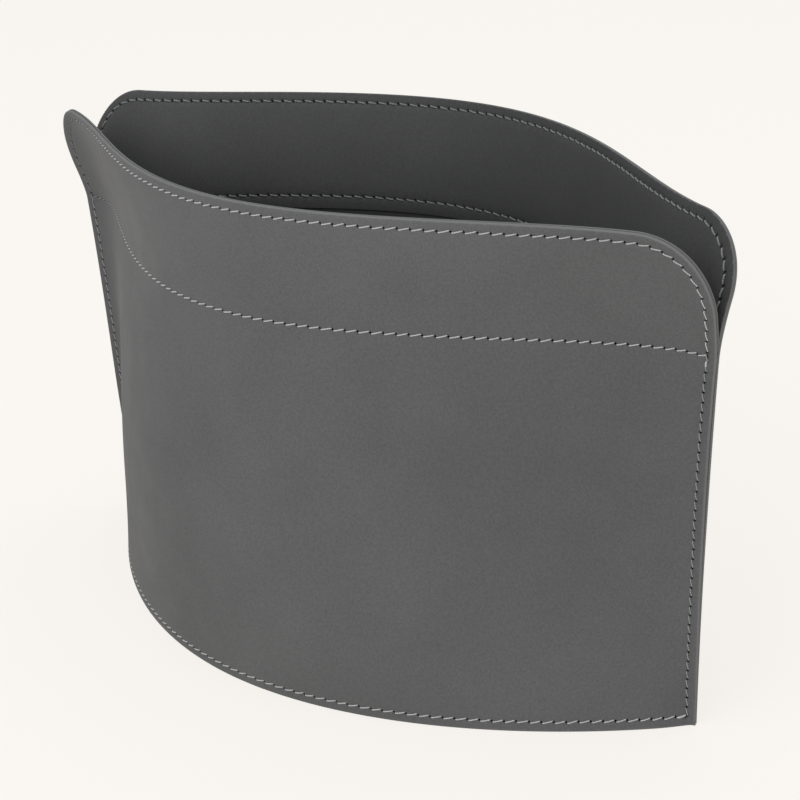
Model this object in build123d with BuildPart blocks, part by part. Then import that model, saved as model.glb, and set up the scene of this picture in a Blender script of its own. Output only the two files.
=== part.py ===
"""Free-standing leather magazine holder: two curved panels sewn together along both end edges.

Frame: +X along the length, from the left end seam to the right one, -Y to the front, +Z up.
The origin is at the middle of the footprint, on the surface that the holder stands on.
"""

from build123d import *
import math
import os

os.makedirs("parts", exist_ok=True)

# Driving dimensions, in millimetres.
HEIGHT = 250.0
SEAM_TOP = 190.0  # the end seams are sewn up to here, and the corners above are free
BELLY_HEIGHT = 90.0
PANEL_THICKNESS = 1.6
FACING_THICKNESS = 1.2
CORNER_RADIUS = 39.0
LIP = 7.0  # flat margin in which the two panels lie on each other at each end
LAYER_GAP = 0.05  # half of the glue line in an end seam
FACING_GAP = 0.2  # glue line between a panel and its facing
END_EASE = 0.03  # share of the half length over which a panel bends away from the lip
RIM_DROOP = 3.5  # the rim is this much lower at its ends than in the middle
SPLAY_POWER = 1.25  # how the free corners curl outward above the seam

FACING_BOTTOM = SEAM_TOP - 5.0
FACING_CORNER_REACH = 36.0  # the facing's lower corners are cut back to keep clear of the seam
FACING_CORNER_RISE = 26.0
FACING_RISE = 4.5  # the facing's lower edge and its stitches stand this much higher in the middle

FLOOR_TOP = 10.0
FLANGE_GAP = 0.15
FLOOR_BEND = 1.2  # the floor's leather rolls over into the flange
TIP_CUT = 8.0  # the floor stops this far short of each lip
BOARD_THICKNESS = 3.0
BOARD_GAP = 0.1

THREAD_RADIUS = 0.4
THREAD_GAP = 0.1
EDGE_INSET = 5.0  # distance from an edge to its row of stitches
LONG_PITCH = 6.0
SEAM_PITCH = 4.8
STITCH_SHARE = 0.62  # length of a stitch as a share of its pitch

FRONT = -1
BACK = 1

# For each panel: height, half length, half depth and fullness. A fullness near 1 makes the plan a
# plain lens, and a higher one draws it in towards the ends, so that the panel curves both ways.
FRONT_LEVELS = [
    (0.0, 210.0, 104.5, 0.905),
    (BELLY_HEIGHT, 213.0, 109.2, 1.11),
    (SEAM_TOP, 221.5, 95.0, 1.47),
    (HEIGHT, 229.5, 77.5, 1.75),
]
BACK_LEVELS = [
    (0.0, 210.0, 107.0, 0.925),
    (BELLY_HEIGHT, 213.0, 108.85, 1.13),
    (SEAM_TOP, 221.5, 96.5, 1.50),
    (HEIGHT, 229.5, 82.0, 1.77),
]
FRONT_SPLAY = 16.5
BACK_SPLAY = 21.0

LOWER_SECTIONS = [0.0, 5.0, 10.0, 50.0, BELLY_HEIGHT, 140.0, SEAM_TOP]
TRIM = 2.0  # the walls are lofted this much too high, and the rim is then cut to its outline
UPPER_SECTIONS = [SEAM_TOP, 198.0, 210.0, 225.0, 240.0, HEIGHT + TRIM]
SECTION_STEPS = 24
SLOPE_STEP = 0.05


def through_levels(levels, column, z):
    """Value of one column at height z, on the curve through all four levels."""
    total = 0.0
    for i, level in enumerate(levels):
        weight = 1.0
        for j, other in enumerate(levels):
            if i != j:
                weight *= (z - other[0]) / (level[0] - other[0])
        total += weight * level[column]
    return total


def levels_of(side):
    return FRONT_LEVELS if side == FRONT else BACK_LEVELS


def half_length(side, z):
    return through_levels(levels_of(side), 1, z)


def splay(side, z):
    """Distance by which a free corner stands away from the seam plane."""
    reach = FRONT_SPLAY if side == FRONT else BACK_SPLAY
    rise = max(0.0, (z - SEAM_TOP) / (HEIGHT - SEAM_TOP))
    return reach * rise**SPLAY_POWER


def inner_distance(side, x, z):
    """Distance of a panel's inner face from the seam plane."""
    depth = through_levels(levels_of(side), 2, z)
    fullness = through_levels(levels_of(side), 3, z)
    inward = max(0.0, 1.0 - abs(x) / (half_length(side, z) - LIP))
    eased = inward**2 / (inward + END_EASE) * (1.0 + END_EASE)
    curve = max(0.0, eased * (2.0 - eased)) ** fullness
    return depth * curve + splay(side, z) + LAYER_GAP


def face_point(side, x, z, outward):
    """Point at a distance outward from the inner face, measured square to it in plan."""
    rise = inner_distance(side, x + SLOPE_STEP, z) - inner_distance(side, x - SLOPE_STEP, z)
    slope = rise / (2.0 * SLOPE_STEP)
    stretch = math.hypot(1.0, slope)
    return (
        x - outward * slope / stretch,
        side * (inner_distance(side, x, z) + outward / stretch),
    )


def plan_curve(side, z, reach, outward):
    """Points of one face between -reach and reach, closer together towards the ends."""
    points = []
    for step in range(SECTION_STEPS + 1):
        angle = math.pi * step / SECTION_STEPS
        points.append(face_point(side, -reach * math.cos(angle), z, outward))
    return points


def wall_section(side, z, inside, outside):
    """Closed plan of a wall between two distances from the panel's inner face."""
    end = half_length(side, z)
    reach = end - LIP
    inner = plan_curve(side, z, reach, inside)
    outer = plan_curve(side, z, reach, outside)
    inner_end = side * (splay(side, z) + LAYER_GAP + inside)
    outer_end = side * (splay(side, z) + LAYER_GAP + outside)
    with BuildSketch(Plane.XY.offset(z)) as section:
        with BuildLine():
            Line((-end, inner_end), inner[0])
            Spline(*inner)
            Line(inner[-1], (end, inner_end))
            Line((end, inner_end), (end, outer_end))
            Line((end, outer_end), outer[-1])
            Spline(*reversed(outer))
            Line(outer[0], (-end, outer_end))
            Line((-end, outer_end), (-end, inner_end))
        make_face()
    return section.sketch


def rounded_outline(half_width, bottom):
    """Face seen from the front, with round top corners, that a wall is cut to."""
    shoulder = HEIGHT - RIM_DROOP
    with BuildSketch(Plane.XZ) as outline:
        with BuildLine():
            Polyline(
                (-half_width, shoulder), (-half_width, bottom), (half_width, bottom), (half_width, shoulder)
            )
            ThreePointArc((-half_width, shoulder), (0.0, HEIGHT), (half_width, shoulder))
        make_face()
        fillet(outline.vertices().group_by(Axis.Y)[-1], CORNER_RADIUS)
    return outline.sketch


def panel(side):
    """One outer leather panel."""
    with BuildPart() as wall:
        loft([wall_section(side, z, 0.0, PANEL_THICKNESS) for z in LOWER_SECTIONS])
        loft([wall_section(side, z, 0.0, PANEL_THICKNESS) for z in UPPER_SECTIONS])
        extrude(rounded_outline(half_length(side, HEIGHT), 0.0), HEIGHT, both=True, mode=Mode.INTERSECT)
    return wall


def facing_rise(side, x):
    """How much higher the facing's lower edge and its stitches are than at the ends."""
    share = x / half_length(side, HEIGHT)
    return FACING_RISE * (1.0 - share**4)


def below_facing(side):
    """Face seen from the front that covers everything below the facing's lower edge."""
    reach = half_length(side, HEIGHT)
    turn = reach - FACING_CORNER_REACH
    steps = [turn * (i / 8.0 - 1.0) for i in range(17)]
    edge = [(x, FACING_BOTTOM + facing_rise(side, x)) for x in steps]
    outside = reach + EDGE_INSET
    foot = FACING_BOTTOM - EDGE_INSET
    shoulder = FACING_BOTTOM + FACING_CORNER_RISE
    with BuildSketch(Plane.XZ) as cover:
        with BuildLine():
            Polyline(edge[0], (-outside, shoulder), (-outside, foot), (outside, foot), (outside, shoulder), edge[-1])
            Spline(*edge)
        make_face()
    return cover.sketch


def facing(side):
    """The leather band that lines the top of one panel."""
    outside = -FACING_GAP
    inside = outside - FACING_THICKNESS
    heights = [FACING_BOTTOM] + UPPER_SECTIONS
    with BuildPart() as band:
        loft([wall_section(side, z, inside, outside) for z in heights])
        outline = rounded_outline(half_length(side, HEIGHT), FACING_BOTTOM)
        extrude(outline, HEIGHT, both=True, mode=Mode.INTERSECT)
        extrude(below_facing(side), HEIGHT, both=True, mode=Mode.SUBTRACT)
    return band


def floor_section(z, inward):
    """Plan of the space between the panels, drawn in from them by the given distance."""
    reach = half_length(FRONT, 0.0) - LIP - TIP_CUT - inward
    front = plan_curve(FRONT, z, reach, -inward)
    back = plan_curve(BACK, z, reach, -inward)
    with BuildSketch(Plane.XY.offset(z)) as section:
        with BuildLine():
            Spline(*front)
            Line(front[-1], back[-1])
            Spline(*reversed(back))
            Line(back[0], front[0])
        make_face()
    return section.sketch


def base_pan():
    """Leather floor with a turned-down flange that is sewn to the foot of both panels."""
    underside = FLOOR_TOP - PANEL_THICKNESS
    inside = FLANGE_GAP + PANEL_THICKNESS
    shoulder = floor_section(FLOOR_TOP - FLOOR_BEND, FLANGE_GAP)
    with BuildPart() as pan:
        loft([floor_section(0.0, FLANGE_GAP), shoulder])
        loft([shoulder, floor_section(FLOOR_TOP, FLANGE_GAP + FLOOR_BEND)])
        loft([floor_section(0.0, inside), floor_section(underside, inside)], mode=Mode.SUBTRACT)
    return pan


def base_board():
    """Stiff board glued under the floor, inside the flange."""
    top = FLOOR_TOP - PANEL_THICKNESS - BOARD_GAP
    inset = FLANGE_GAP + PANEL_THICKNESS + 2.0 * BOARD_GAP
    with BuildPart() as board:
        loft([floor_section(top - BOARD_THICKNESS, inset), floor_section(top, inset)])
    return board


def thread_place(side, x, z, step_x, step_z, outward):
    """Plane for one stitch: its z axis runs along the row, and it lies just off the leather."""
    near = face_point(side, x - step_x, z - step_z, outward)
    far = face_point(side, x + step_x, z + step_z, outward)
    middle = face_point(side, x, z, outward)
    along = Vector(far[0] - near[0], far[1] - near[1], 2.0 * step_z)
    across = (0.0, 0.0, 1.0) if abs(step_x) > abs(step_z) else (0.0, 1.0, 0.0)
    return Plane(origin=(middle[0], middle[1], z), x_dir=across, z_dir=along)


def row_places(side, path, pitch, outward):
    """Planes spaced by the pitch along a path of (x, z) points on one face."""
    places = []
    travelled = pitch / 2.0
    for start, stop in zip(path, path[1:]):
        a = face_point(side, start[0], start[1], outward)
        b = face_point(side, stop[0], stop[1], outward)
        length = math.dist((a[0], a[1], start[1]), (b[0], b[1], stop[1]))
        while travelled < length:
            share = travelled / length
            x = start[0] + share * (stop[0] - start[0])
            z = start[1] + share * (stop[1] - start[1])
            run = math.dist(start, stop)
            step_x = 0.5 * (stop[0] - start[0]) / run
            step_z = 0.5 * (stop[1] - start[1]) / run
            places.append(thread_place(side, x, z, step_x, step_z, outward))
            travelled += pitch
        travelled -= length
    return places


def stitches(places, pitch):
    """A row of stitches as one group of separate short threads."""
    with BuildPart() as row:
        with Locations(*places):
            Cylinder(THREAD_RADIUS, STITCH_SHARE * pitch)
    return row


def rim_droop(side, x):
    """How much lower the rim is than in the middle."""
    return RIM_DROOP * (x / half_length(side, HEIGHT)) ** 2


def rim_path(side):
    """Row that follows the rim from one end seam, round both corners, to the other."""
    end = half_length(side, HEIGHT) - EDGE_INSET
    foot_end = half_length(side, SEAM_TOP) - EDGE_INSET
    radius = CORNER_RADIUS - EDGE_INSET
    top = HEIGHT - EDGE_INSET
    turn = [math.pi / 2.0 * i / 12 for i in range(13)]
    start = end - radius
    centre = top - rim_droop(side, start) - radius
    right = [(start + radius * math.sin(a), centre + radius * math.cos(a)) for a in turn]
    flat = [(x, top - rim_droop(side, x)) for x in straight_steps(-start, start)]
    left = [(-x, z) for x, z in reversed(right)]
    return [(-foot_end, SEAM_TOP)] + left[:-1] + flat + right[1:] + [(foot_end, SEAM_TOP)]


def straight_steps(start, stop):
    count = 120
    return [start + (stop - start) * i / count for i in range(count + 1)]


def level_path(side, z):
    """Row that runs level across a wall, between the two end seams."""
    reach = half_length(side, z) - EDGE_INSET - LONG_PITCH / 2.0
    return [(x, z) for x in straight_steps(-reach, reach)]


def facing_path(side):
    """Row that holds the facing's lower edge, a little higher in the middle."""
    return [(x, z + facing_rise(side, x)) for x, z in level_path(side, SEAM_TOP)]


def seam_path(end):
    """Row that runs up one end seam."""
    heights = [EDGE_INSET, 45.0, BELLY_HEIGHT, 140.0, SEAM_TOP - SEAM_PITCH / 2.0]
    return [(end * (half_length(FRONT, z) - EDGE_INSET), z) for z in heights]


OUTER_FACE = PANEL_THICKNESS + THREAD_RADIUS + THREAD_GAP


def save(name, built):
    built.part.label = name
    export_step(built.part, f"parts/{name}.step")


save("base_pan", base_pan())
save("base_board", base_board())
for side_name, side_sign in (("front", FRONT), ("back", BACK)):
    save(f"{side_name}_panel", panel(side_sign))
    save(f"{side_name}_facing", facing(side_sign))
    rows = {
        "rim": rim_path(side_sign),
        "facing": facing_path(side_sign),
        "foot": level_path(side_sign, EDGE_INSET),
    }
    for row_name, path in rows.items():
        places = row_places(side_sign, path, LONG_PITCH, OUTER_FACE)
        save(f"{side_name}_{row_name}_stitches", stitches(places, LONG_PITCH))
for end_name, end_sign in (("left", -1), ("right", 1)):
    seam = seam_path(end_sign)
    places = row_places(FRONT, seam, SEAM_PITCH, OUTER_FACE)
    places += row_places(BACK, seam, SEAM_PITCH, OUTER_FACE)
    save(f"{end_name}_seam_stitches", stitches(places, SEAM_PITCH))
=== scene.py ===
"""Looks of a stitched leather magazine holder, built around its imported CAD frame."""

import logging
import math
from dataclasses import dataclass, field
from enum import Enum

import bmesh
import bpy
import numpy as np
from mathutils import Matrix, Vector
from mathutils.geometry import delaunay_2d_cdt
from mathutils.kdtree import KDTree


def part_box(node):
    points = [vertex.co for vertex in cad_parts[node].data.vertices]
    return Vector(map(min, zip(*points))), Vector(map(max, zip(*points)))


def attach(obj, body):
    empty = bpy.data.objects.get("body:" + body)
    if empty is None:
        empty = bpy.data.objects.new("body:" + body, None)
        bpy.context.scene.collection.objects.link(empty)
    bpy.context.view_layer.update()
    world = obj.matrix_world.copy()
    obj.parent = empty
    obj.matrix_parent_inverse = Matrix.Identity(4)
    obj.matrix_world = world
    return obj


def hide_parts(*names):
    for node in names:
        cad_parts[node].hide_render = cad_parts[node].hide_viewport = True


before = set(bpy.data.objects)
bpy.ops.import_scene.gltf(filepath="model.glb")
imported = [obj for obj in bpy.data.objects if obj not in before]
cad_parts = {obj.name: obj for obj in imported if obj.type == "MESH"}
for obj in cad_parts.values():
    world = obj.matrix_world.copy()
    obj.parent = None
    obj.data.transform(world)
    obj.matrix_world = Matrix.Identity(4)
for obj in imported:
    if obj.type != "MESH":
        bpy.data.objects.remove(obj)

LOG = logging.getLogger("magazine_holder")
# Values the leather material reads: the edge paint, the painted shade in the stitch holes and the painted shade
# of the plain face.
LEATHER_KEYS = ("edge", "hole", "inside")
NOISE_SPAN = (0.3, 0.7)  # nearly all of a noise texture's values lie in this span
MM_PER_M = 1000.0
TINY = 1e-6

Points = np.ndarray
Pair = tuple[float, float]
Tone = tuple[float, float, float]
Material = bpy.types.Material
Object = bpy.types.Object
Node = bpy.types.Node


class Side(Enum):
    """Which of the two walls a piece belongs to, as the sign of its Y."""

    FRONT = -1
    BACK = 1


class Face(Enum):
    """Which face of a sheet shows its stitch holes."""

    OUTER = 1
    INNER = -1


def search_tree(points: Points) -> KDTree:
    """A tree that finds the nearest of some points on the flat leather."""
    tree = KDTree(len(points))
    for i, point in enumerate(points):
        tree.insert((point[0], point[1], 0.0), i)
    tree.balance()
    return tree


def new_piece(
    name: str, vertices: list, faces: list, finish: Material, values: dict[str, Points]
) -> Object:
    """Make a piece, with every face turned so that it looks outward.

    Args:
        name: the piece's name.
        vertices: its points.
        faces: its faces, as numbers of points.
        finish: its material.
        values: numbers that the material reads, one for each point.

    Returns:
        The new object, in the scene.
    """
    mesh = bpy.data.meshes.new(name)
    mesh.from_pydata([tuple(v) for v in vertices], [], faces)
    for key, numbers in values.items():
        layer = mesh.attributes.new(key, "FLOAT", "POINT")
        layer.data.foreach_set("value", np.asarray(numbers, np.float32))
    mesh.validate()
    mesh.shade_smooth()
    mesh.materials.append(finish)
    work = bmesh.new()
    work.from_mesh(mesh)
    bmesh.ops.recalc_face_normals(work, faces=work.faces)
    work.to_mesh(mesh)
    work.free()
    piece = bpy.data.objects.new(name, mesh)
    bpy.context.scene.collection.objects.link(piece)
    LOG.info("%s: %d faces", name, len(mesh.polygons))
    return piece


def finish_piece(piece: Object, slot: str, *nodes: str) -> None:
    """Tie a piece to the frame.

    Args:
        piece: the object.
        slot: not used.
        nodes: the CAD nodes that it stands for.
    """
    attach(piece, "root")
    if nodes:
        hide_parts(*nodes)


# --- Finishes ---


class Nodes:
    """A small helper that adds and links the nodes of one material."""

    def __init__(self, name: str) -> None:
        """Start an empty material.

        Args:
            name: the material's name.
        """
        self.material = bpy.data.materials.new(name)
        self.material.use_nodes = True
        self.tree = self.material.node_tree
        self.tree.nodes.clear()
        self.output = self.tree.nodes.new("ShaderNodeOutputMaterial")
        self.shader = self.tree.nodes.new("ShaderNodeBsdfPrincipled")
        self.link(self.shader, "BSDF", self.output, "Surface")

    def add(self, kind: str, **settings: object) -> Node:
        """Add a node.

        Args:
            kind: the node's type name.
            settings: properties of the node, or its input sockets' values by name.

        Returns:
            The new node.
        """
        node = self.tree.nodes.new(kind)
        for key, value in settings.items():
            if hasattr(node, key):
                setattr(node, key, value)
            else:
                node.inputs[key.replace("_", " ")].default_value = value
        return node

    def link(self, source: Node, out: str | int, target: Node, into: str | int) -> None:
        """Join one node's output to another's input."""
        self.tree.links.new(source.outputs[out], target.inputs[into])

    def noise(self, scale: float, detail: float, roughness: float = 0.55) -> tuple:
        """Add a noise texture that is fixed to the object.

        Args:
            scale: how many features there are in a metre.
            detail: number of octaves.
            roughness: strength of the finer octaves.

        Returns:
            The noise node and its output.
        """
        node = self.add("ShaderNodeTexNoise", Scale=scale, Detail=detail, Roughness=roughness)
        self.link(self.place(), "Object", node, "Vector")
        return node, "Fac"

    def place(self) -> Node:
        """The texture coordinate node, made once."""
        if not hasattr(self, "_place"):
            self._place = self.add("ShaderNodeTexCoord")
        return self._place

    def ramp(self, source: tuple, span: Pair, first: Tone, last: Tone) -> tuple:
        """Turn a value into a colour between two.

        Args:
            source: a node and its output.
            span: the values that give the first and the last colour.
            first: colour at the lower end of the span.
            last: colour at its upper end.

        Returns:
            The ramp node and its output.
        """
        node = self.add("ShaderNodeValToRGB")
        for element, place, colour in zip(node.color_ramp.elements, span, (first, last)):
            element.position = place
            element.color = (*colour, 1.0)
        self.link(*source, node, "Fac")
        return node, "Color"

    def remap(self, source: tuple, span: Pair, to: Pair) -> tuple:
        """Stretch a value from one span to another, and hold it beyond the ends.

        Args:
            source: a node and its output.
            span: the values that come in.
            to: the values that they become.

        Returns:
            The node and its output.
        """
        node = self.add("ShaderNodeMapRange")
        for key, value in zip(("From Min", "From Max", "To Min", "To Max"), (*span, *to)):
            node.inputs[key].default_value = value
        self.link(*source, node, "Value")
        return node, "Result"

    def mix(self, factor: tuple | float, first: tuple, second: tuple, blend: str = "MIX") -> tuple:
        """Mix two colours.

        Args:
            factor: a node and its output that give the share of the second colour, or a number.
            first: a node and its output.
            second: a colour, or a node and its output.
            blend: how they are mixed.

        Returns:
            The mix node and its output.
        """
        node = self.add("ShaderNodeMix", data_type="RGBA", blend_type=blend)
        for value, socket in ((factor, 0), (first, 6), (second, 7)):
            if isinstance(value, float):
                node.inputs[socket].default_value = value
            elif isinstance(value[0], float):
                node.inputs[socket].default_value = (*value, 1.0)
            else:
                self.link(*value, node, socket)
        return node, 2

    def multiply(self, first: tuple, second: tuple) -> tuple:
        """Multiply two colours, each a node and its output."""
        return self.mix(1.0, first, second, "MULTIPLY")

    def across(self, axis: str) -> tuple:
        """The place along one axis of the holder, as a node and its output."""
        split = self.add("ShaderNodeSeparateXYZ")
        self.link(self.place(), "Object", split, "Vector")
        return split, axis

    def bump(self, height: tuple, strength: float, distance: float) -> None:
        """Raise the surface by a height, given as a node and its output."""
        node = self.add("ShaderNodeBump", Strength=strength, Distance=distance)
        self.link(*height, node, "Height")
        self.link(node, "Normal", self.shader, "Normal")

    def dress(self, colour: tuple, roughness: float, specular: float) -> None:
        """Give the shader its colour, roughness and specular level."""
        self.link(*colour, self.shader, "Base Color")
        self.shader.inputs["Roughness"].default_value = roughness
        self.shader.inputs["Specular IOR Level"].default_value = specular


@dataclass(frozen=True)
class LeatherFinish:
    """Smooth pressed leather with a fine grain and painted edges, with painted shade: near-black stitch holes,
    a darker plain face, and darker ends and foot.
    """

    name: str
    tone: Tone
    edge_tone: Tone
    # Painted shade: the colour inside the stitch holes.
    hole_shade_tone: Tone = (0.006, 0.006, 0.006)
    roughness: float = 0.66
    roughness_spread: Pair = (-0.04, 0.05)
    roughness_scale: float = 60.0
    specular: float = 0.14
    grain_scale: float = 1500.0
    grain_noise_share: float = 0.45
    grain_height: float = 0.00006
    grain_strength: float = 0.55
    cloud_scale: float = 9.0
    mottle: float = 0.10
    speckle_scale: float = 900.0
    speckle_span: Pair = (0.35, 0.65)
    speckle_dark: float = 0.90
    speckle_light: float = 1.09
    # Painted shade: each sheet's plain face gets this share of the tone.
    inside_shade_share: float = 0.60
    # Painted shade: darker towards the foot and towards both ends.
    low_tone: float = 0.90
    high_tone: float = 1.02
    left_shade_tone: float = 0.84
    right_shade_tone: float = 0.94
    upward_span: Pair = (0.0, 0.25)
    left_span: Pair = (-0.212, -0.180)
    right_span: Pair = (-0.10, 0.22)

    def make(self) -> Material:
        """Build the material.

        Returns:
            The leather material.
        """
        n = Nodes(self.name)
        cloud = n.ramp(
            n.noise(self.cloud_scale, detail=3.0), NOISE_SPAN,
            self.shade(1.0 - self.mottle), self.shade(1.0 + self.mottle),
        )
        speckle = n.ramp(
            n.noise(self.speckle_scale, detail=2.0, roughness=0.7), self.speckle_span,
            (self.speckle_dark,) * 3, (self.speckle_light,) * 3,
        )
        # Random mottle and speckle, times the painted shade towards the foot and the ends.
        colour = n.multiply(n.multiply(cloud, speckle), self.painted_shade_drift(n))
        # Painted shade on the plain face and in the stitch holes; the lighter edge colour is the edge paint.
        tones = (self.shade(self.inside_shade_share), self.edge_tone, self.hole_shade_tone)
        for key, tone in zip(("inside", "edge", "hole"), tones):
            share = n.add("ShaderNodeAttribute", attribute_name=key)
            colour = n.mix((share, "Fac"), colour, tone)
        n.dress(colour, self.roughness, self.specular)

        spread = tuple(self.roughness + part for part in self.roughness_spread)
        rough = n.remap(n.noise(self.roughness_scale, detail=3.0), NOISE_SPAN, spread)
        n.link(*rough, n.shader, "Roughness")

        pores = n.add("ShaderNodeTexVoronoi", Scale=self.grain_scale)
        n.link(n.place(), "Object", pores, "Vector")
        grain = n.noise(self.grain_scale * self.grain_noise_share, detail=4.0, roughness=0.6)
        height = n.add("ShaderNodeMath", operation="ADD")
        n.link(pores, "Distance", height, 0)
        n.link(*grain, height, 1)
        n.bump((height, "Value"), self.grain_strength, self.grain_height)
        return n.material

    def painted_shade_drift(self, n: Nodes) -> tuple:
        """Painted shade: the tone darkens towards the foot and towards both ends.

        Args:
            n: the material's nodes.

        Returns:
            The node and its output that give the share of the tone that is left.
        """
        upward = n.remap(n.across("Z"), self.upward_span, (self.low_tone, self.high_tone))
        right = n.remap(n.across("X"), self.right_span, (1.0, self.right_shade_tone))
        left = n.remap(n.across("X"), self.left_span, (self.left_shade_tone, 1.0))
        return n.multiply(n.multiply(upward, right), left)

    def shade(self, factor: float) -> Tone:
        """The leather's tone made lighter or darker."""
        return tuple(channel * factor for channel in self.tone)


@dataclass(frozen=True)
class ThreadFinish:
    """Waxed thread laid from twisted plies, with painted shade in the grooves between the plies and towards the
    left end.
    """

    name: str
    tone: Tone
    shadow: float = 0.45
    left_shade_tone: float = 1.0
    fuzz_scale: float = 2500.0
    fuzz_dark: float = 0.82
    fuzz_light: float = 1.08
    roughness: float = 0.55
    specular: float = 0.4
    ply_strength: float = 0.8
    ply_height: float = 0.00008
    left_span: Pair = (-0.20, -0.125)

    def make(self) -> Material:
        """Build the material.

        Returns:
            The thread material.
        """
        n = Nodes(self.name)
        twist = n.add("ShaderNodeAttribute", attribute_name="twist")
        wave = n.add("ShaderNodeMath", operation="SINE")
        n.link(twist, "Fac", wave, 0)
        plies = n.remap((wave, "Value"), (-1.0, 1.0), (0.0, 1.0))
        laid = n.ramp(plies, (0.0, 1.0), tuple(c * self.shadow for c in self.tone), self.tone)
        fuzz = n.ramp(
            n.noise(self.fuzz_scale, detail=2.0), NOISE_SPAN,
            (self.fuzz_dark,) * 3, (self.fuzz_light,) * 3,
        )
        # Painted shade: the thread darkens towards the left end.
        left_shade = n.remap(n.across("X"), self.left_span, (self.left_shade_tone, 1.0))
        n.dress(n.multiply(n.multiply(laid, fuzz), left_shade), self.roughness, self.specular)
        n.bump(plies, self.ply_strength, self.ply_height)
        return n.material


@dataclass(frozen=True)
class BoardFinish:
    """Raw pressed fibreboard."""

    name: str
    tone: Tone
    dark: float = 0.72
    light: float = 1.18
    fibre_scale: float = 420.0
    fibre_span: Pair = (0.32, 0.68)
    fibre_strength: float = 0.5
    fibre_height: float = 0.0001
    roughness: float = 0.85

    def make(self) -> Material:
        """Build the material.

        Returns:
            The board material.
        """
        n = Nodes(self.name)
        fibres = n.noise(self.fibre_scale, detail=5.0, roughness=0.7)
        dark, light = (tuple(c * share for c in self.tone) for share in (self.dark, self.light))
        colour = n.ramp(fibres, self.fibre_span, dark, light)
        n.link(*colour, n.shader, "Base Color")
        n.shader.inputs["Roughness"].default_value = self.roughness
        n.bump(fibres, self.fibre_strength, self.fibre_height)
        return n.material


# --- The shape of a wall ---


@dataclass(frozen=True)
class Level:
    """A wall's plan at one height, in metres; fullness is a plain number."""

    height: float
    half_length: float
    half_depth: float
    fullness: float


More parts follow.
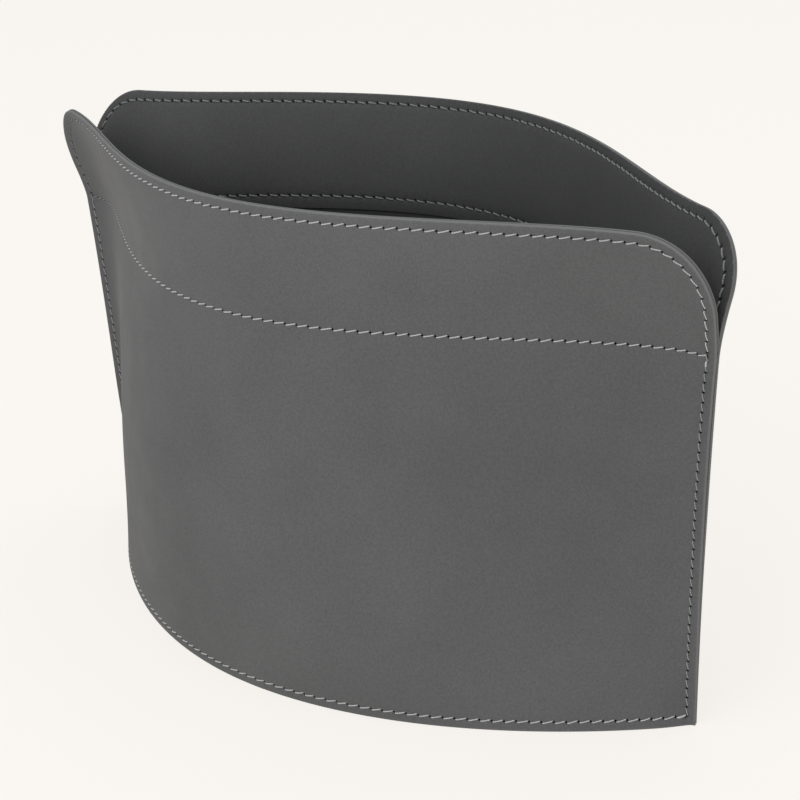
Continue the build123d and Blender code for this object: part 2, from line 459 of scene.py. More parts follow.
@dataclass
class Wall:
    """The inner face of one wall, as a map from the flat leather to its place in the holder.

    A point on the flat leather has s, along the wall from its middle, and z, its height.
    """

    side: Side
    levels: tuple[Level, ...]
    splay: float
    height: float = 0.250
    seam_top: float = 0.190
    lip: float = 0.007
    foot_lip: float = 0.0015
    lip_fade: float = 0.060
    layer_gap: float = 0.00005
    end_ease: float = 0.03
    foot_ease: float = 0.012
    seam_turn: float = 0.003
    seam_turn_reach: float = 0.014
    seam_turn_top: float = 0.090
    splay_power: float = 1.25
    droop: float = 0.0034
    lean: Pair = (0.0, 0.0)
    lean_power: float = 2.2
    lean_fade: int = 4
    droop_fade: int = 3
    normal_step: float = 0.0012
    rows: int = 251
    steps: int = 801
    half_width: float = field(init=False, default=0.0)
    table: dict[str, Points] = field(init=False, default_factory=dict)

    def __post_init__(self) -> None:
        """Work out the table that maps flat leather to the bent wall."""
        z = np.linspace(0.0, self.height, self.rows)
        even = np.linspace(-1.0, 1.0, self.steps)
        x = even[None, :] * self.through(z, "half_length")[:, None]
        y = self.inner_distance(x, z[:, None])
        run = np.hypot(np.diff(x, axis=1), np.diff(y, axis=1))
        length = np.concatenate([np.zeros((self.rows, 1)), np.cumsum(run, axis=1)], axis=1)
        share = 2.0 * length / length[:, -1:] - 1.0
        bent_x = np.stack([np.interp(even, share[i], x[i]) for i in range(self.rows)])
        bent_y = np.stack([np.interp(even, share[i], y[i]) for i in range(self.rows)])
        self.half_width = float(np.median(length[:, -1])) / 2.0
        self.table = {"x": bent_x, "y": bent_y * self.side.value}
        LOG.info("%s wall: flat width %.1f mm", self.side.name.lower(), 2.0 * MM_PER_M * self.half_width)

    def through(self, z: Points, name: str) -> Points:
        """Value of one of the levels' fields at each height, on the curve through all levels."""
        total = np.zeros_like(z, dtype=float)
        for i, level in enumerate(self.levels):
            weight = np.ones_like(z, dtype=float)
            for j, other in enumerate(self.levels):
                if i != j:
                    weight = weight * (z - other.height) / (level.height - other.height)
            total = total + weight * getattr(level, name)
        return total

    def inner_distance(self, x: Points, z: Points) -> Points:
        """Distance of the inner face from the plane of the end seams.

        Args:
            x: place along the holder.
            z: height.

        Returns:
            The distance, which is never negative.
        """
        low = np.clip(1.0 - z / self.lip_fade, 0.0, None) ** 2
        lip = self.lip - (self.lip - self.foot_lip) * low
        ease = self.end_ease - (self.end_ease - self.foot_ease) * low
        half_length = self.through(z, "half_length")
        inward = np.clip(1.0 - np.abs(x) / (half_length - lip), 0.0, None)
        eased = inward**2 / (inward + ease) * (1.0 + ease)
        curve = np.clip(eased * (2.0 - eased), 0.0, None) ** self.through(z, "fullness")
        rise = np.clip((z - self.seam_top) / (self.height - self.seam_top), 0.0, None)
        near = np.clip(1.0 - (half_length - np.abs(x)) / self.seam_turn_reach, 0.0, 1.0) ** 2
        turn = self.side.value * self.seam_turn * near
        turn = turn * np.clip(1.0 - z / self.seam_turn_top, 0.0, None) ** 2
        bulge = self.through(z, "half_depth") * curve
        return bulge + self.splay * rise**self.splay_power + turn + self.layer_gap

    def sample(self, key: str, s: Points, z: Points) -> Points:
        """Read the table between its points."""
        grid = self.table[key]
        col = np.clip((s / self.half_width + 1.0) / 2.0, 0.0, 1.0) * (self.steps - 1)
        row = np.clip(z / self.height, 0.0, 1.0) * (self.rows - 1)
        c0 = np.minimum(col.astype(int), self.steps - 2)
        r0 = np.minimum(row.astype(int), self.rows - 2)
        fc = col - c0
        fr = row - r0
        low = grid[r0, c0] * (1 - fc) + grid[r0, c0 + 1] * fc
        high = grid[r0 + 1, c0] * (1 - fc) + grid[r0 + 1, c0 + 1] * fc
        return low * (1 - fr) + high * fr

    def base_points(self, s: Points, z: Points) -> Points:
        """Points on the inner face, before it leans."""
        return np.stack([self.sample("x", s, z), self.sample("y", s, z), z], axis=-1)

    def outward(self, s: Points, z: Points) -> Points:
        """Unit vectors that point out of the holder, square to the wall."""
        steps = (-self.normal_step, self.normal_step)
        s_low, s_high = (np.clip(s + step, -self.half_width, self.half_width) for step in steps)
        z_low, z_high = (np.clip(z + step, 0.0, self.height) for step in steps)
        along = self.base_points(s_high, z) - self.base_points(s_low, z)
        up = self.base_points(s, z_high) - self.base_points(s, z_low)
        normal = np.cross(along, up)
        normal /= np.linalg.norm(normal, axis=-1, keepdims=True)
        flip = np.sign(normal[..., 1]) * self.side.value
        return normal * np.where(flip == 0, 1.0, flip)[..., None]

    def settle(self, s: Points, z: Points) -> Points:
        """Real height of a place on the flat leather, which sinks a little towards the ends."""
        across = np.clip(np.abs(s) / self.half_width, 0.0, 1.0)
        return z - self.droop * (np.clip(z, 0.0, None) / self.height) ** 2 * across**self.droop_fade

    def put(self, s: Points, z: Points, away: Points) -> Points:
        """Points at a distance outward from the inner face.

        Args:
            s: places along the flat leather.
            z: heights on the flat leather.
            away: distances outward from the inner face.

        Returns:
            One point in a row for each place.
        """
        z = self.settle(s, z)
        inside = np.clip(z, 0.0, self.height)
        point = self.base_points(s, inside)
        point = point + self.outward(s, inside) * np.asarray(away)[..., None]
        point[..., 2] += z - inside
        rise = np.clip((z - self.seam_top) / (self.height - self.seam_top), 0.0, None)
        leftward = np.clip(0.5 - 0.5 * s / self.half_width, 0.0, 1.0)
        for axis in (0, 1):
            point[..., axis] += self.lean[axis] * rise**self.lean_power * leftward**self.lean_fade
        point[..., 2] = np.maximum(point[..., 2], 0.0)
        return point


# --- Rows of stitches on the flat leather ---


@dataclass
class StitchRow:
    """One row of slanted stitches: holes at an even pitch along a path on the flat leather."""

    path: Points
    pitch: float
    crowding: float = 0.10
    slit_length: float = 0.0016
    slit_width: float = 0.00086
    slit_turn: float = -52.0
    wander: float = 0.00008
    heading_reach: float = 0.001
    seed: int = 1
    holes: Points = field(init=False)
    headings: Points = field(init=False)

    def __post_init__(self) -> None:
        """Space the holes along the path."""
        run = np.linalg.norm(np.diff(self.path, axis=0), axis=1)
        length = np.concatenate([[0.0], np.cumsum(run)])
        across = 2.0 * length / length[-1] - 1.0
        density = 1.0 / (self.pitch * (1.0 - self.crowding * across**2))
        passed = np.concatenate([[0.0], np.cumsum(0.5 * (density[1:] + density[:-1]) * np.diff(length))])
        count = max(2, int(round(passed[-1])))
        at = np.interp(np.linspace(0.0, passed[-1], count + 1), passed, length)
        here, ahead, behind = (
            np.stack([np.interp(place, length, self.path[:, k]) for k in (0, 1)], axis=1)
            for place in (at, np.clip(at + self.heading_reach, 0.0, length[-1]),
                          np.clip(at - self.heading_reach, 0.0, length[-1]))
        )
        self.headings = np.arctan2(*(ahead - behind).T[::-1])
        rng = np.random.default_rng(self.seed)
        self.holes = here + rng.normal(0.0, self.wander, (len(at), 2))

    def slit_ends(self) -> tuple[Points, Points]:
        """First and last point of every slit, where the thread leaves and enters."""
        turn = self.turns()
        reach = 0.5 * self.slit_length * np.stack([np.cos(turn), np.sin(turn)], axis=1)
        return self.holes + reach, self.holes - reach

    def turns(self) -> Points:
        """Direction of every slit."""
        return self.headings + math.radians(self.slit_turn)

    def ring(self, scale: float, count: int = 10) -> Points:
        """Outlines of all slits.

        Args:
            scale: size of the outline against the slit's own.
            count: points in each outline.

        Returns:
            An array of slit, point and coordinate.
        """
        turn = self.turns()
        angle = np.linspace(0.0, 2.0 * math.pi, count, endpoint=False)
        long_part = 0.5 * self.slit_length * scale * np.cos(angle)
        short_part = 0.5 * self.slit_width * scale * np.sin(angle)
        s = np.cos(turn)[:, None] * long_part[None] - np.sin(turn)[:, None] * short_part[None]
        z = np.sin(turn)[:, None] * long_part[None] + np.cos(turn)[:, None] * short_part[None]
        return self.holes[:, None, :] + np.stack([s, z], axis=2)


@dataclass
class Outline:
    """A flat piece of leather with rounded corners, cut level at top and bottom."""

    half_width: float
    bottom: float
    top: float
    top_radius: Pair
    bottom_radius: float = 0.0

    def inset(self, by: float, spacing: float) -> Points:
        """Closed loop of points that runs at a distance inside the edge.

        Args:
            by: distance from the edge.
            spacing: distance between neighbours.

        Returns:
            The loop's points, counter-clockwise from the middle of the bottom.
        """
        left = self.half_loop(by, spacing, self.top_radius[0])[::-1][:-1] * np.array([-1.0, 1.0])
        right = self.half_loop(by, spacing, self.top_radius[1])
        return np.concatenate([right, [[0.0, self.top - by]], left])

    def half_loop(self, by: float, spacing: float, radius: float) -> Points:
        """The half of an inset loop that lies at positive s."""
        wide, low, high = self.half_width - by, self.bottom + by, self.top - by
        top_r = max(radius - by, 0.0)
        low_r = max(self.bottom_radius - by, 0.0)
        points = self.straight((0.0, low), (wide - low_r, low), spacing)
        points += self.bend((wide - low_r, low + low_r), low_r, -90.0, spacing)
        points += self.straight((wide, low + low_r), (wide, high - top_r), spacing)
        points += self.bend((wide - top_r, high - top_r), top_r, 0.0, spacing)
        return np.array(points + self.straight((wide - top_r, high), (0.0, high), spacing))

    @staticmethod
    def straight(start: Pair, stop: Pair, spacing: float) -> list:
        """Evenly spaced points from start up to, but not at, stop."""
        length = math.dist(start, stop)
        if length < TINY:
            return []
        count = max(1, int(round(length / spacing)))
        return [(start[0] + i / count * (stop[0] - start[0]), start[1] + i / count * (stop[1] - start[1]))
                for i in range(count)]

    @staticmethod
    def bend(centre: Pair, radius: float, start: float, spacing: float) -> list:
        """Points round a quarter turn, up to but not at its end."""
        if radius <= 0.0:
            return []
        count = max(3, int(round(radius * math.pi / 2.0 / spacing)))
        angles = np.radians(start + 90.0 * np.arange(count) / count)
        return [(centre[0] + radius * math.cos(a), centre[1] + radius * math.sin(a)) for a in angles]

    def depth(self, s: Points, z: Points) -> Points:
        """Distance of each point from the nearest edge, measured inward."""
        top_r = np.where(np.asarray(s) < 0.0, self.top_radius[0], self.top_radius[1])
        s = np.abs(s)
        near = np.minimum(self.half_width - s, np.minimum(self.top - z, z - self.bottom))
        for radius, out_z in (
            (top_r, z - (self.top - top_r)),
            (self.bottom_radius, self.bottom + self.bottom_radius - z),
        ):
            out_s = s - (self.half_width - radius)
            corner = (out_s > 0) & (out_z > 0) & (radius > 0)
            near = np.where(corner, radius - np.hypot(out_s, out_z), near)
        return near


# --- Leather sheets ---


@dataclass
class LeatherSheet:
    """One cut piece of leather that follows a wall, with real slits where its stitches pass."""

    name: str
    wall: Wall
    outline: Outline
    inner: float
    thickness: float
    face: Face
    rows: list[StitchRow]
    finish: Material
    grid: float = 0.0034
    edge_round: float = 0.0006
    groove_depth: float = 0.00034
    groove_width: float = 0.0012
    hole_depth: float = 0.0009
    edge_spacing: float = 0.0016
    edge_steps: tuple = (0.0, 0.00008, 0.00022, 0.0006)
    quiet_steps: tuple = (0.0012, 0.0021, 0.0032)
    quiet_stretch: float = 1.3
    ring_scales: tuple = (2.3, 1.5, 1.0, 0.6)
    between_across: tuple = (-0.0022, -0.0012, -0.0005, 0.0, 0.0005, 0.0012, 0.0022)
    between_along: tuple = (-0.0011, 0.0, 0.0011)
    between_gap: float = 0.00035
    edge_clear: float = 0.0008
    field_clear: float = 0.0018
    field_gap_share: float = 0.42
    hole_draw: float = 0.6
    hole_draw_width: float = 0.0011
    groove_reach: float = 6.0
    paint_reach: float = 1.05
    paint_gain: float = 1.6
    paint_least: float = 0.02

    def build(self) -> Object:
        """Make the sheet.

        Returns:
            The sheet's object.
        """
        detailed = self.face_mesh(True)
        plain = self.face_mesh(False)
        vertices = np.concatenate([detailed["points"], plain["points"]])
        shift = len(detailed["points"])
        faces = [tuple(t) for t in detailed["faces"]]
        faces += [tuple(i + shift for i in reversed(t)) for t in plain["faces"]]
        count = detailed["edge_count"]
        for i in range(count):
            j = (i + 1) % count
            faces.append((j, i, i + shift, j + shift))
        values = {key: np.concatenate([detailed[key], plain[key]]) for key in LEATHER_KEYS}
        return new_piece(self.name, list(vertices), faces, self.finish, values)

    def flat_points(self, detailed: bool) -> tuple[Points, list, Points, int]:
        """Points of one face on the flat leather.

        Args:
            detailed: whether this is the face with slits.

        Returns:
            The points, the edge's lines, how far each point is inside a slit, and the edge's number of points.
        """
        loops = [self.outline.inset(by, self.edge_spacing) for by in self.edge_steps]
        count = len(loops[0])
        edges = [(i, (i + 1) % count) for i in range(count)]
        if detailed:
            loops += [self.outline.inset(by, self.edge_spacing * self.quiet_stretch) for by in self.quiet_steps]
        flat = np.concatenate(loops)
        sunk = np.zeros(len(flat))
        if detailed:
            flat, sunk = self.add_rings(flat, sunk)
            flat, sunk = self.add_between(flat, sunk)
        s = np.arange(-self.outline.half_width, self.outline.half_width, self.grid)
        z = np.arange(self.outline.bottom, self.outline.top, self.grid)
        gs, gz = np.meshgrid(s, z)
        gs = gs + (np.arange(len(z)) % 2)[:, None] * self.grid / 2.0
        field_points = np.stack([gs.ravel(), gz.ravel()], axis=1)
        deep = self.outline.depth(field_points[:, 0], field_points[:, 1])
        field_points = field_points[deep > self.field_clear]
        flat, sunk = self.add_clear(flat, sunk, field_points, self.grid * self.field_gap_share)
        return flat, edges, sunk, count

    def add_rings(self, flat: Points, sunk: Points) -> tuple[Points, Points]:
        """Add the outlines of all slits, and give the longer arrays."""
        for row in self.rows:
            for scale in self.ring_scales:
                ring = row.ring(scale).reshape(-1, 2)
                ring = ring[self.outline.depth(ring[:, 0], ring[:, 1]) > self.edge_clear]
                flat = np.concatenate([flat, ring])
                sunk = np.concatenate([sunk, np.full(len(ring), float(scale <= 1.0))])
        return flat, sunk

    def add_between(self, flat: Points, sunk: Points) -> tuple[Points, Points]:
        """Add points between the slits, for the groove, and give the longer arrays."""
        for row in self.rows:
            between = 0.5 * (row.holes[1:] + row.holes[:-1])
            heading = row.headings[:-1]
            across = np.stack([-np.sin(heading), np.cos(heading)], axis=1)
            along = np.stack([np.cos(heading), np.sin(heading)], axis=1)
            for off in self.between_across:
                for forth in self.between_along:
                    extra = between + across * off + along * forth
                    flat, sunk = self.add_clear(flat, sunk, extra, self.between_gap)
        return flat, sunk

    def add_clear(self, flat: Points, sunk: Points, extra: Points, gap: float) -> tuple[Points, Points]:
        """Add the points that are clear of all earlier ones.

        Args:
            flat: the points so far.
            sunk: how far each of them is inside a slit.
            extra: candidates.
            gap: least distance to an earlier point.

        Returns:
            The longer arrays.
        """
        extra = extra[self.outline.depth(extra[:, 0], extra[:, 1]) > self.edge_clear]
        tree = search_tree(flat)
        keep = [p for p in extra if tree.find((p[0], p[1], 0.0))[2] > gap]
        if not keep:
            return flat, sunk
        return np.concatenate([flat, keep]), np.concatenate([sunk, np.zeros(len(keep))])

    def face_mesh(self, detailed: bool) -> dict:
        """One face of the sheet, bent to the wall.

        Args:
            detailed: whether this is the face with slits.

        Returns:
            Its points, faces, painted-edge values, slit values for the painted shade in the holes, plain-face
            values for the painted shade of that face, and how many points its edge has.
        """
        flat, edges, flat_sunk, count = self.flat_points(detailed)
        verts = [Vector((p[0] * MM_PER_M, p[1] * MM_PER_M)) for p in flat]
        out = delaunay_2d_cdt(verts, edges, [], 1, TINY, True)
        co = np.array([(v[0], v[1]) for v in out[0]]) / MM_PER_M
        source = [ids[0] if ids else -1 for ids in out[3]]
        order = np.array(source)
        sunk = np.where(order >= 0, flat_sunk[order], 0.0)
        back_to = {src: i for i, src in enumerate(source)}
        first = [back_to[i] for i in range(count)]
        edge_places = set(first)
        arrange = np.array(first + [i for i in range(len(co)) if i not in edge_places])
        new_place = np.empty(len(co), int)
        new_place[arrange] = np.arange(len(co))
        faces = [tuple(int(new_place[i]) for i in tri) for tri in out[2]]
        co = co[arrange]
        sunk = sunk[arrange]
        depth = np.clip(self.outline.depth(co[:, 0], co[:, 1]), 0.0, None)
        depth[:count] = 0.0
        outer = (self.face is Face.OUTER) == detailed
        away = self.relief(co, depth, sunk, detailed, outer)
        points = self.wall.put(co[:, 0], co[:, 1], away)
        edge = np.clip(1.0 - depth / (self.edge_round * self.paint_reach), 0.0, 1.0)
        return {
            "points": points,
            "faces": faces,
            "edge": np.where(edge > self.paint_least, np.clip(edge * self.paint_gain, 0.0, 1.0), 0.0),
            # The material paints shade where hole and inside are set.
            "hole": sunk,
            "inside": np.where(depth > self.edge_round, float(not detailed), 0.0),
            "edge_count": count,
        }

    def relief(self, co: Points, depth: Points, sunk: Points, detailed: bool, outer: bool) -> Points:
        """Distance of each point from the wall's inner face.

        Args:
            co: places on the flat leather.
            depth: distances from the sheet's edge.
            sunk: how far each point is inside a slit.
            detailed: whether this face has the slits.
            outer: whether this is the face away from the middle of the holder.

        Returns:
            The distances.
        """
        radius = self.edge_round
        inset = np.clip(radius - depth, 0.0, radius)
        drop = radius - np.sqrt(np.clip(radius**2 - inset**2, 0.0, None))
        if detailed:
            drop = drop + self.stitch_relief(co) + sunk * self.hole_depth
        if outer:
            return self.inner + self.thickness - drop
        return self.inner + drop

    def stitch_relief(self, co: Points) -> Points:
        """How far the leather is drawn in along its rows of stitches."""
        total = np.zeros(len(co))
        reach = self.groove_reach * self.groove_width
        for row in self.rows:
            line, holes = search_tree(row.path), search_tree(row.holes)
            for i, point in enumerate(co):
                place = (point[0], point[1], 0.0)
                near = line.find(place)[2]
                if near < reach:
                    total[i] += self.groove_depth * math.exp(-((near / self.groove_width) ** 2))
                    hole = holes.find(place)[2] / self.hole_draw_width
                    total[i] += self.hole_draw * self.groove_depth * math.exp(-(hole**2))
        return total


# --- Thread ---


@dataclass
class Thread:
    """The visible thread of one row: a short arched strand between each two slits."""

    name: str
    wall: Wall
    row: StitchRow
    surface: float
    face: Face
    finish: Material
    radius: float = 0.00034
    rise: float = -0.00016
    dive: float = 0.0007
    around: int = 8
    along: int = 13
    slant: float = 1.0
    cover: float = 1.0
    clear: object = None
    knots: tuple = ()
    knot_radius: float = 0.00055
    arch_power: float = 0.28
    flatness: float = 0.85
    lay_length: float = 0.0011

    def build(self) -> Object:
        """Make all strands of the row as one piece.

        Returns:
            The thread's object.
        """
        leave, enter = self.row.slit_ends()
        holes = self.row.holes
        starts = (holes + self.slant * (leave - holes))[:-1]
        stops = (holes + self.slant * (enter - holes))[1:]
        short = 0.5 * (1.0 - self.cover) * (stops - starts)
        vertices: list = []
        faces: list = []
        twist: list = []
        for start, stop in zip(starts + short, stops - short):
            if self.clear is not None and not self.clear(0.5 * (start + stop)):
                continue
            self.strand(start, stop, vertices, faces, twist, self.radius)
        for start, stop in self.knots:
            self.strand(np.array(start), np.array(stop), vertices, faces, twist, self.knot_radius)
        return new_piece(self.name, vertices, faces, self.finish, {"twist": np.array(twist)})

    def strand(
        self, start: Points, stop: Points, vertices: list, faces: list, twist: list, radius: float
    ) -> None:
        """Add one strand.

        Args:
            start: where it leaves the leather, on the flat.
            stop: where it enters the leather again.
            vertices: grows by the strand's points.
            faces: grows by the strand's faces.
            twist: grows by the phase of the plies at each point.
            radius: half its thickness.
        """
        share = np.linspace(0.0, 1.0, self.along)
        flat = start[None] * (1.0 - share[:, None]) + stop[None] * share[:, None]
        arch = np.clip(np.sin(math.pi * share), 0.0, None) ** self.arch_power
        lift = -self.dive + (self.dive + self.rise) * arch
        centre = self.wall.put(flat[:, 0], flat[:, 1], self.surface + self.face.value * lift)
        normal = self.wall.outward(flat[:, 0], flat[:, 1])
        along = np.gradient(centre, axis=0)
        along /= np.linalg.norm(along, axis=1, keepdims=True)
        side = np.cross(along, normal)
        side /= np.linalg.norm(side, axis=1, keepdims=True)
        up = np.cross(side, along)
        base = len(vertices)
        length = float(np.linalg.norm(centre[-1] - centre[0]))
        for i in range(self.along):
            for j in range(self.around):
                angle = 2.0 * math.pi * j / self.around
                offset = math.cos(angle) * side[i] + self.flatness * math.sin(angle) * up[i]
                vertices.append(tuple(centre[i] + radius * offset))
                twist.append(2.0 * math.pi * length * share[i] / self.lay_length + angle * 2.0)
        for i in range(self.along - 1):
            for j in range(self.around):
                k = (j + 1) % self.around
                a = base + i * self.around
                faces.append((a + j, a + k, a + self.around + k, a + self.around + j))
        last = base + (self.along - 1) * self.around
        faces.append(tuple(base + j for j in reversed(range(self.around))))
        faces.append(tuple(last + j for j in range(self.around)))


# --- The holder's sub-assemblies ---


@dataclass
class Finishes:
    """All materials, made once."""

    outer: Material
    inner: Material
    thread: Material
    seam_thread: Material
    inner_thread: Material
    board: Material

    @classmethod
    def make(cls) -> "Finishes":
        """Build every finish."""
        return cls(
            outer=LeatherFinish("outer_leather", (0.116, 0.1175, 0.120), (0.172, 0.174, 0.176)).make(),
            # Painted shade: the inner leather darkens towards the right end, and its stitch holes are
            # near-black.
            inner=LeatherFinish(
                "inner_leather", (0.082, 0.083, 0.085), (0.150, 0.152, 0.154), (0.018, 0.018, 0.018),
                right_shade_tone=0.70,
            ).make(),
            # Painted shade: the outer thread darkens towards the left end.
            thread=ThreadFinish("thread", (0.66, 0.67, 0.68), left_shade_tone=0.36).make(),
            # Painted shade: a darker copy of the thread for the end seams.
            seam_thread=ThreadFinish("seam_thread", (0.44, 0.445, 0.45)).make(),
            # Painted shade: a darker copy of the thread for the rows on the band inside the holder.
            inner_thread=ThreadFinish("inner_thread", (0.31, 0.315, 0.32)).make(),
            board=BoardFinish("fibreboard", (0.16, 0.135, 0.11)).make(),
        )


@dataclass
class WallAssembly:
    """One wall: its leather panel, the facing behind its rim, and the rows of thread on both."""

    wall: Wall
    finishes: Finishes
    panel_thickness: float = 0.0016
    facing_thickness: float = 0.0012
    corner_radius: Pair = (0.039, 0.039)
    facing_corner: float = 0.012
    facing_row: float = 0.1945
    facing_dip: float = 0.0023
    rim_height: float = 0.2507
    edge_inset: float = 0.0050
    facing_overlap: float = 0.0075
    long_pitch: float = 0.0063
    seam_pitch: float = 0.0050
    inner_thread_clear: float = 0.0015
    rim_spacing: float = 0.001
    level_steps: int = 500
    seam_steps: int = 220
    seam_knot: Pair = (0.0022, 0.0048)
    foot_knot: tuple = ((0.0042, -0.0004), (0.0008, 0.0006))

    @property
    def label(self) -> str:
        """The wall's name, as the nodes spell it."""
        return self.wall.side.name.lower()

    def rim_path(self) -> Points:
        """The row along the rim, from the left end seam over the top to the right one."""
        shape = Outline(self.wall.half_width, 0.0, self.rim_height, self.corner_radius)
        loop = shape.inset(self.edge_inset, self.rim_spacing)
        upper = loop[loop[:, 1] >= self.facing_row - TINY]
        order = np.argsort(np.arctan2(upper[:, 1] - self.facing_row, upper[:, 0]))[::-1]
        return upper[order]

    def level_path(self, z: float) -> Points:
        """A level row from one end seam to the other."""
        reach = self.wall.half_width - self.edge_inset
        s = np.linspace(-reach, reach, self.level_steps)
        return np.stack([s, np.full_like(s, z)], axis=1)

    def facing_path(self) -> Points:
        """The row that holds the band's lower edge; it dips a little where it meets the seams."""
        path = self.level_path(self.facing_row)
        share = np.abs(path[:, 0]) / self.wall.half_width
        path[:, 1] -= self.facing_dip * share**4
        return path

    def seam_path(self, end: int) -> Points:
        """The row that runs up one end seam, from the foot row to the rim row."""
        z = np.linspace(self.edge_inset, self.facing_row, self.seam_steps)
        s = np.full_like(z, end * (self.wall.half_width - self.edge_inset))
        return np.stack([s, z], axis=1)

    def rows(self) -> dict[str, StitchRow]:
        """All rows of stitches on the wall."""
        return {
            "rim": StitchRow(self.rim_path(), self.long_pitch, seed=11, crowding=0.12),
            "facing": StitchRow(self.facing_path(), self.long_pitch, seed=12, crowding=0.17),
            "foot": StitchRow(self.level_path(self.edge_inset), self.long_pitch, seed=13),
            "left": StitchRow(self.seam_path(-1), self.seam_pitch, seed=14, crowding=0.0),
            "right": StitchRow(self.seam_path(1), self.seam_pitch, seed=15, crowding=0.0),
        }

    def build(self) -> None:
        """Make the wall's leather and thread, and tie each piece to the frame."""
        rows = self.rows()
        self.build_panel(rows)
        facing_outline = self.build_facing(rows)
        self.build_threads(rows, facing_outline)

    def build_panel(self, rows: dict[str, StitchRow]) -> None:
        """Make the outer leather."""
        sheet = LeatherSheet(
            name=f"{self.label}_leather",
            wall=self.wall,
            outline=Outline(self.wall.half_width, 0.0, self.rim_height, self.corner_radius),
            inner=0.0,
            thickness=self.panel_thickness,
            face=Face.OUTER,
            rows=list(rows.values()),
            finish=self.finishes.outer,
        )
        piece = sheet.build()
        finish_piece(piece, "outer_leather", f"{self.label}_panel")

    def build_facing(self, rows: dict[str, StitchRow]) -> Outline:
        """Make the band behind the rim."""
        outline = Outline(
            self.wall.half_width,
            self.facing_row - self.facing_overlap,
            self.rim_height,
            self.corner_radius,
            self.facing_corner,
        )
        sheet = LeatherSheet(
            name=f"{self.label}_band",
            wall=self.wall,
            outline=outline,
            inner=-(self.wall.layer_gap + self.facing_thickness),
            thickness=self.facing_thickness,
            face=Face.INNER,
            rows=[rows["rim"], rows["facing"]],
            finish=self.finishes.inner,
            edge_round=0.00045,
            hole_depth=0.0005,
        )
        piece = sheet.build()
        finish_piece(piece, "inner_leather", f"{self.label}_facing")
        return outline

    def seam_knots(self) -> tuple:
        """Start and stop of the short thick strands just below the band, one on each end seam."""
        z = self.facing_row - self.facing_dip
        reach = self.wall.half_width - self.edge_inset
        high, low = self.seam_knot
        return tuple(((end * reach, z - high), (end * reach, z - low)) for end in (-1, 1))

    def foot_knots(self) -> tuple:
        """Start and stop of the thick last stitch at either end of the foot row."""
        reach = self.wall.half_width - self.edge_inset
        (s_start, z_start), (s_stop, z_stop) = self.foot_knot
        return tuple(
            (
                (end * (reach - s_start), self.edge_inset + z_start),
                (end * (reach - s_stop), self.edge_inset + z_stop),
            )
            for end in (-1, 1)
        )

    def build_threads(self, rows: dict[str, StitchRow], facing: Outline) -> None:
        """Make the thread of every row, on the outer face and on the band."""
        knots = {"facing": self.seam_knots(), "foot": self.foot_knots()}
        for key in ("rim", "facing", "foot"):
            self.sew(rows[key], f"{key}_thread", Face.OUTER, self.finishes.thread,
                     (f"{self.label}_{key}_stitches",), knots=knots.get(key, ()))
        for key in ("rim", "facing"):
            self.sew(rows[key], f"{key}_inner_thread", Face.INNER, self.finishes.inner_thread, (),
                     radius=0.00046, rise=0.00004, slant=-0.9, cover=0.62,
                     clear=lambda p: float(facing.depth(p[0], p[1])) > self.inner_thread_clear)
        for key in ("left", "right"):
            self.sew(rows[key], f"{key}_seam_thread", Face.OUTER, self.finishes.seam_thread,
                     (f"{key}_seam_stitches",), radius=0.00027, rise=-0.00014)

    def sew(
        self, row: StitchRow, name: str, face: Face, finish: Material, nodes: tuple, **sizes: object
    ) -> None:
        """Make one row's thread and tie it to the frame.

        Args:
            row: the row of slits.
            name: the thread's name, after the wall's.
            face: the face that the thread lies on.
            finish: its material.
            nodes: the CAD nodes that it stands for.
            sizes: what differs from a plain thread.
        """
        surface = self.panel_thickness
        if face is Face.INNER:
            surface = -(self.wall.layer_gap + self.facing_thickness)
        thread = Thread(f"{self.label}_{name}", self.wall, row, surface, face, finish, **sizes)
        finish_piece(thread.build(), "thread", *nodes)


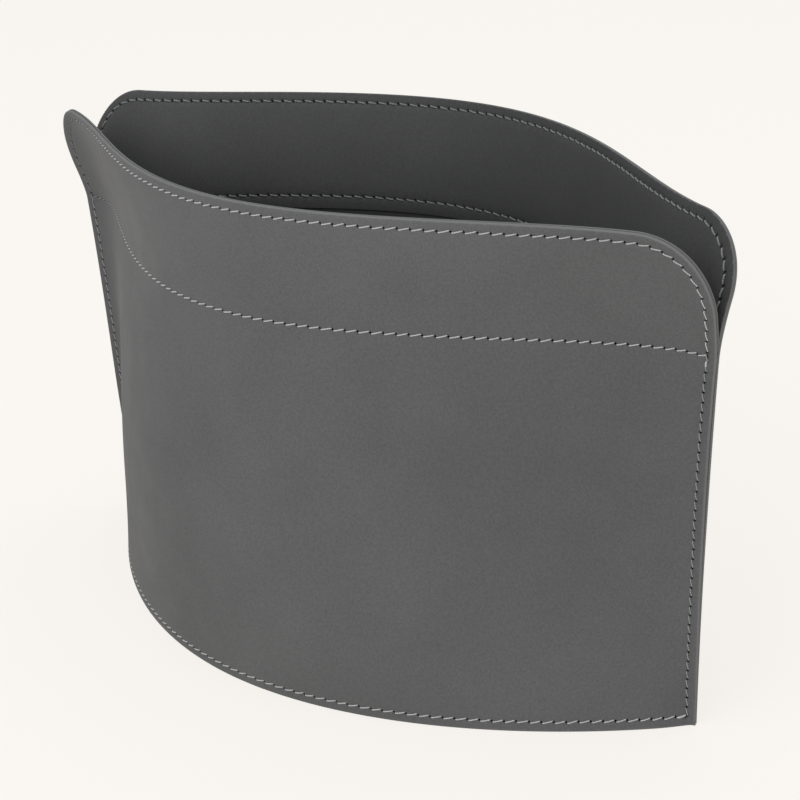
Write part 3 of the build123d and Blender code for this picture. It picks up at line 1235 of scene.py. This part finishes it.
@dataclass
class Base:
    """The floor: a leather pan with a turned-down flange, and the board under it."""

    walls: tuple[Wall, Wall]
    finishes: Finishes
    leather: float = 0.0016
    flange_gap: float = 0.0002
    bend_radius: float = 0.0026
    tip_cut: float = 0.008
    steps: int = 220
    foot_soft: float = 0.0004
    inner_bend: float = 0.001
    bend_angles: tuple = (18.0, 36.0, 54.0, 72.0, 90.0)
    board_gap: float = 0.0002
    board_soft: float = 0.0004
    fill_shares: tuple = (0.97, 0.9, 0.78, 0.6, 0.4, 0.2, 0.05)
    fill_length_share: float = 0.35

    def loop(self, z: float, inward: float) -> Points:
        """Plan of the pan at one height, as a closed loop.

        Args:
            z: height.
            inward: distance in from the walls.

        Returns:
            The loop's points, front half first.
        """
        halves = []
        for wall in self.walls:
            reach = wall.half_width - wall.foot_lip - self.tip_cut - inward
            angle = np.linspace(0.0, math.pi, self.steps)
            s = -reach * np.cos(angle)
            halves.append(wall.put(s, np.full_like(s, z), np.full_like(s, -inward)))
        return np.concatenate([halves[0], halves[1][::-1]])

    def build(self) -> None:
        """Make the pan and the board."""
        low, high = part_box("base_pan")
        self.build_pan(low.z, high.z)
        board_low, board_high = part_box("base_board")
        self.build_board(board_low.z, board_high.z)

    def build_pan(self, foot: float, top: float) -> None:
        """Make the leather pan.

        Args:
            foot: height of the flange's lower edge.
            top: height of the floor.
        """
        gap = self.flange_gap
        r = self.bend_radius
        soft = self.foot_soft
        rings = [self.loop(foot + soft, gap), self.loop(top - r, gap)]
        for angle in np.radians(self.bend_angles):
            rings.append(self.loop(top - r + r * math.sin(angle), gap + r * (1.0 - math.cos(angle))))
        inner = gap + self.leather
        bend = self.inner_bend
        under = top - self.leather
        ladder = list(reversed(self.fill(under, inner + bend)))
        ladder += [self.loop(under, inner + bend), self.loop(under - bend, inner)]
        ladder += [self.loop(foot + soft, inner), self.loop(foot, inner - soft), self.loop(foot, gap + soft)]
        ladder += rings + self.fill(top, gap + r)
        piece = self.ladder_mesh("base_leather", ladder, self.finishes.inner, LEATHER_KEYS)
        finish_piece(piece, "inner_leather", "base_pan")

    def fill(self, z: float, inward: float) -> list:
        """Loops that shrink towards the middle of the floor.

        Args:
            z: height of the floor.
            inward: distance in from the walls at which the flat floor starts.

        Returns:
            The loops, the outermost first.
        """
        rim = self.loop(z, inward)
        loops = []
        for share in self.fill_shares:
            loop = rim.copy()
            loop[:, 1] *= share
            loop[:, 0] *= 1.0 - (1.0 - share) * self.fill_length_share
            loops.append(loop)
        return loops

    def build_board(self, low: float, high: float) -> None:
        """Make the stiff board.

        Args:
            low: height of its underside.
            high: height of its upper side.
        """
        inward = self.flange_gap + self.leather + self.board_gap
        soft = self.board_soft
        ladder = list(reversed(self.fill(low, inward + soft)))
        ladder += [self.loop(low, inward + soft), self.loop(low + soft, inward)]
        ladder += [self.loop(high - soft, inward), self.loop(high, inward + soft)]
        ladder += self.fill(high, inward + soft)
        piece = self.ladder_mesh("base_stiffener", ladder, self.finishes.board, ())
        finish_piece(piece, "board", "base_board")

    @staticmethod
    def ladder_mesh(name: str, loops: list, finish: Material, keys: tuple) -> Object:
        """Join loops of equal size into a closed skin, with its two ends filled.

        Args:
            name: the piece's name.
            loops: the loops, in order.
            finish: its material.
            keys: what the material reads at each point, which is nought all over here.

        Returns:
            The new object.
        """
        count = len(loops[0])
        vertices = [tuple(p) for loop in loops for p in loop]
        faces = []
        for a in range(0, (len(loops) - 1) * count, count):
            for j in range(count):
                k = (j + 1) % count
                faces.append((a + j, a + k, a + count + k, a + count + j))
        for start in (0, (len(loops) - 1) * count):
            for j in range(count // 2 - 1):
                faces.append((start + j, start + j + 1, start + count - 2 - j, start + count - 1 - j))
        return new_piece(name, vertices, faces, finish, {key: np.zeros(len(vertices)) for key in keys})


# --- Studio ---


@dataclass
class Studio:
    """Pale floor, soft light and the camera."""

    height: float = 0.250
    yaw: float = 45.5
    pitch: float = 21.74
    roll: float = -3.24
    distance: float = 1.1286
    slide: float = -0.01562
    lift: float = 0.00822
    lens: float = 98.43
    sensor: float = 36.0
    floor_size: float = 6.0
    floor_tone: tuple = (0.15, 0.15, 0.148, 1.0)
    floor_glow: tuple = (0.81, 0.785, 0.745, 1.0)
    floor_roughness: float = 0.9
    floor_specular: float = 0.1
    sky_tone: tuple = (0.92, 0.92, 0.92, 1.0)
    sky_strength: float = 0.62
    lamps: tuple = (("key", (0.3, -2.3, 2.0), 2.4, 36.0), ("top", (0.0, 0.3, 2.6), 2.2, 16.0))
    lamp_aim: tuple = (0.0, 0.0, 0.12)

    def build(self) -> None:
        """Make the floor, the lights and the camera."""
        self.build_floor()
        self.build_world()
        self.build_lights()
        self.build_camera()

    def build_floor(self) -> None:
        """Make the floor that the holder stands on."""
        mesh = bpy.data.meshes.new("floor")
        corners = [
            (x * self.floor_size, y * self.floor_size, 0.0) for x, y in ((-1, -1), (1, -1), (1, 1), (-1, 1))
        ]
        mesh.from_pydata(corners, [], [(0, 1, 2, 3)])
        floor = bpy.data.objects.new("floor", mesh)
        bpy.context.scene.collection.objects.link(floor)
        material = bpy.data.materials.new("floor_paper")
        material.use_nodes = True
        shader = material.node_tree.nodes["Principled BSDF"]
        for key, value in (
            ("Base Color", self.floor_tone),
            ("Roughness", self.floor_roughness),
            ("Specular IOR Level", self.floor_specular),
            ("Emission Color", self.floor_glow),
            ("Emission Strength", 1.0),
        ):
            shader.inputs[key].default_value = value
        mesh.materials.append(material)

    def build_world(self) -> None:
        """Make the even pale surroundings."""
        world = bpy.data.worlds.new("studio")
        world.use_nodes = True
        back = world.node_tree.nodes["Background"]
        back.inputs["Color"].default_value = self.sky_tone
        back.inputs["Strength"].default_value = self.sky_strength
        bpy.context.scene.world = world

    def build_lights(self) -> None:
        """Make the soft lamps."""
        for name, place, size, power in self.lamps:
            self.lamp(name, place, size, power)

    def lamp(self, name: str, place: Tone, size: float, power: float) -> None:
        """Add one square lamp that points at the holder.

        Args:
            name: the lamp's name.
            place: where it hangs.
            size: length of its sides.
            power: its power in watts.
        """
        data = bpy.data.lights.new(name, "AREA")
        data.shape = "SQUARE"
        data.size = size
        data.energy = power
        lamp = bpy.data.objects.new(name, data)
        lamp.location = place
        aim = Vector(self.lamp_aim) - Vector(place)
        lamp.rotation_mode = "QUATERNION"
        lamp.rotation_quaternion = aim.to_track_quat("-Z", "Y")
        bpy.context.scene.collection.objects.link(lamp)

    def build_camera(self) -> None:
        """Make the camera."""
        yaw, pitch, roll = (math.radians(a) for a in (self.yaw, self.pitch, self.roll))
        ahead = Vector((-math.sin(yaw) * math.cos(pitch), math.cos(yaw) * math.cos(pitch), -math.sin(pitch)))
        right = Vector((math.cos(yaw), math.sin(yaw), 0.0))
        up = right.cross(ahead)
        centre = Vector((0.0, 0.0, self.height / 2.0))
        place = centre - ahead * self.distance - right * self.slide - up * self.lift
        level_right = right * math.cos(roll) + up * math.sin(roll)
        level_up = -right * math.sin(roll) + up * math.cos(roll)
        data = bpy.data.cameras.new("camera")
        data.sensor_width = self.sensor
        data.lens = self.lens
        camera = bpy.data.objects.new("camera", data)
        turn = Matrix((level_right, level_up, -ahead)).transposed()
        camera.matrix_world = Matrix.Translation(place) @ turn.to_4x4()
        bpy.context.scene.collection.objects.link(camera)
        bpy.context.scene.camera = camera


FRONT_LEVELS = (
    Level(0.0, 0.2072, 0.1042, 0.914),
    Level(0.090, 0.2138, 0.1092, 1.11),
    Level(0.190, 0.2219, 0.0950, 1.47),
    Level(0.250, 0.2312, 0.0775, 1.75),
)
BACK_LEVELS = (
    Level(0.0, 0.2072, 0.1067, 0.934),
    Level(0.090, 0.2138, 0.10885, 1.13),
    Level(0.190, 0.2219, 0.0965, 1.50),
    Level(0.250, 0.2285, 0.0820, 1.77),
)
CORNER_RADII = {Side.FRONT: (0.042, 0.038), Side.BACK: (0.027, 0.032)}


def main() -> None:
    """Build every piece around the frame."""
    logging.basicConfig(level=logging.INFO, format="%(message)s")
    bpy.context.scene.view_settings.view_transform = "Standard"
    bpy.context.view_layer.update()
    finishes = Finishes.make()
    front = Wall(Side.FRONT, FRONT_LEVELS, 0.0165, lean=(-0.0042, -0.0034))
    back = Wall(
        Side.BACK, BACK_LEVELS, 0.0210, droop=0.0022, splay_power=1.6, lean=(0.0065, 0.003), lean_power=1.2
    )
    for wall in (front, back):
        radius = CORNER_RADII[wall.side]
        WallAssembly(wall, finishes, corner_radius=radius).build()
    Base((front, back), finishes).build()
    Studio().build()


if __name__ == "__main__":
    main()
